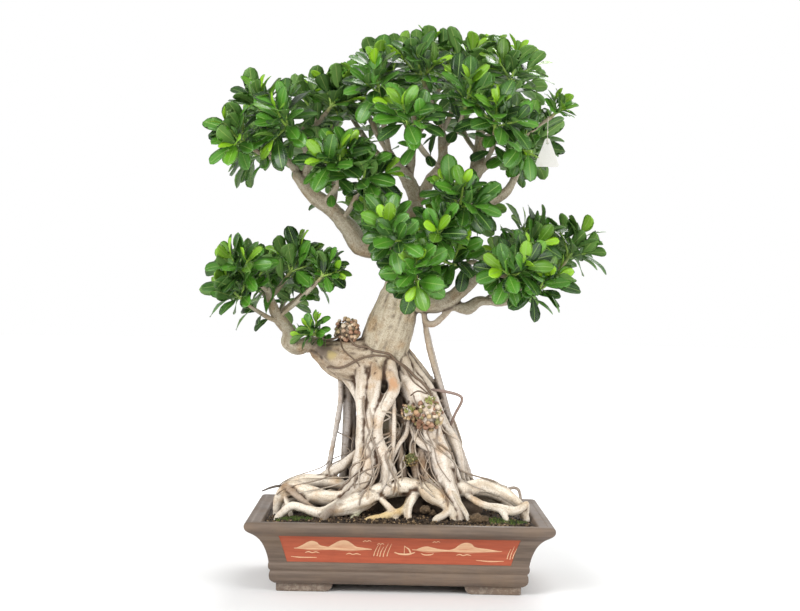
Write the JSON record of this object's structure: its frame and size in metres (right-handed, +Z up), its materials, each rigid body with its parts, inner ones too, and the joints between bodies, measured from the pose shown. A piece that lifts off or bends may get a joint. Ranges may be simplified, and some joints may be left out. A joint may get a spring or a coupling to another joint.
{
  "type": "ficus bonsai",
  "caption": "Evergreen bonsai tree with aerial prop roots and tiered leafy crowns, planted in a long rectangular footed clay pot with a framed painted panel.",
  "frame": {"origin": "on the resting surface, below the middle of the pot and of the whole outline", "axes": "+Z up, the painted front faces -Y, +X to the right as seen from the front"},
  "size_m": [0.7498, 0.5011, 1.0724],
  "materials": {
    "bark": "pale tan bark, finely mottled, with grey aerial roots and dark creases",
    "clay": "matte",
    "earth": "matte",
    "netting": "matte",
    "card": "matte",
    "cotton": "matte",
    "leaf": "satin"
  },
  "bodies": {
    "root": {"wood": "bark", "pot": "clay", "soil": "earth", "screen_left": "netting", "screen_right": "netting", "tag": "card", "tag_thread": "cotton", "spray_left_1": "leaf", "spray_left_2": "leaf", "spray_left_3": "leaf", "spray_left_4": "leaf", "spray_left_5": "leaf", "spray_left_6": "leaf", "spray_left_7": "leaf", "spray_left_9": "leaf", "spray_shelf_1": "leaf", "spray_shelf_2": "leaf", "spray_shelf_3": "leaf", "spray_top_1": "leaf", "spray_top_2": "leaf", "spray_top_3": "leaf", "spray_top_5": "leaf", "spray_top_6": "leaf", "spray_top_7": "leaf", "spray_top_8": "leaf", "spray_top_9": "leaf", "spray_top_10": "leaf", "spray_top_11": "leaf", "spray_top_12": "leaf", "spray_right_1": "leaf", "spray_right_2": "leaf", "spray_right_3": "leaf", "spray_right_4": "leaf", "spray_right_5": "leaf", "spray_right_6": "leaf", "spray_right_7": "leaf", "spray_right_9": "leaf", "spray_right_10": "leaf", "spray_right_11": "leaf", "spray_low_right_1": "leaf", "spray_low_right_2": "leaf", "spray_low_right_3": "leaf", "spray_low_right_5": "leaf", "spray_low_right_6": "leaf", "spray_low_right_7": "leaf", "spray_low_right_8": "leaf", "spray_front_1": "leaf", "spray_front_2": "leaf", "spray_front_3": "leaf", "spray_front_4": "leaf", "spray_back_1": "leaf", "spray_back_2": "leaf", "spray_low_left_1": "leaf", "spray_low_left_2": "leaf", "spray_low_left_3": "leaf", "spray_low_left_4": "leaf", "spray_low_left_5": "leaf", "spray_low_left_6": "leaf", "spray_low_left_7": "leaf", "spray_tuft": "leaf"}
  },
  "joints": []
}
